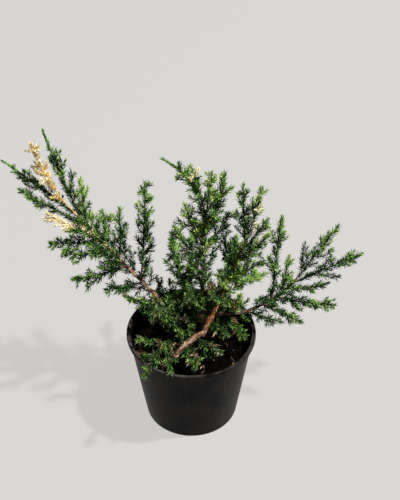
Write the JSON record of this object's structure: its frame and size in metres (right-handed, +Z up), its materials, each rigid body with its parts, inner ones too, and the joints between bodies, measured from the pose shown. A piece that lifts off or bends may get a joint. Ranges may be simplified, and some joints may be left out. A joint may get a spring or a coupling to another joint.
{
  "type": "potted chinese juniper",
  "caption": "Young Chinese juniper with spreading, cream-flecked sprays of short needles, growing in a round black nursery pot filled with dark soil.",
  "frame": {"origin": "centre of the flat underside of the pot", "axes": "+Z up along the pot's axis; the plant is seen from -Y, with its long low bough to -X and its right bough to +X"},
  "size_m": [0.4175, 0.2146, 0.3305],
  "materials": {
    "pot_plastic": "satin",
    "soil": "matte",
    "bark": "matte",
    "green_needles": "matte",
    "cream_needles": "matte"
  },
  "bodies": {
    "root": {"pot": "pot_plastic", "soil": "soil", "trunk": "bark", "left_bough": "bark", "centre_bough": "bark", "upright_bough": "bark", "right_bough": "bark", "front_bough": "bark", "back_left_bough": "bark", "back_right_bough": "bark", "left_spray_1": "green_needles", "left_spray_2": "cream_needles", "left_spray_3": "green_needles", "left_spray_4": "green_needles", "left_spray_5": "cream_needles", "left_spray_6": "green_needles", "left_spray_7": "green_needles", "left_spray_8": "green_needles", "left_spray_9": "green_needles", "left_spray_10": "green_needles", "left_spray_11": "green_needles", "left_spray_12": "green_needles", "left_spray_13": "green_needles", "left_spray_14": "green_needles", "left_spray_15": "green_needles", "centre_spray_1": "green_needles", "centre_spray_2": "green_needles", "centre_spray_3": "green_needles", "centre_spray_4": "green_needles", "centre_spray_5": "green_needles", "centre_spray_6": "green_needles", "centre_spray_7": "green_needles", "centre_spray_8": "green_needles", "upright_spray_1": "green_needles", "upright_spray_2": "green_needles", "upright_spray_3": "green_needles", "upright_spray_4": "green_needles", "upright_spray_5": "green_needles", "upright_spray_6": "cream_needles", "upright_spray_7": "green_needles", "upright_spray_8": "green_needles", "right_spray_1": "green_needles", "right_spray_2": "green_needles", "right_spray_3": "green_needles", "right_spray_4": "green_needles", "right_spray_5": "green_needles", "right_spray_6": "green_needles", "right_spray_7": "green_needles", "right_spray_8": "green_needles", "right_spray_9": "green_needles", "right_spray_10": "green_needles", "front_spray_1": "green_needles", "front_spray_2": "green_needles", "front_spray_3": "green_needles", "back_left_spray_1": "green_needles", "back_left_spray_2": "green_needles", "back_right_spray_1": "green_needles", "back_right_spray_2": "green_needles", "trunk_spray_1": "green_needles", "trunk_spray_2": "green_needles"}
  },
  "joints": []
}
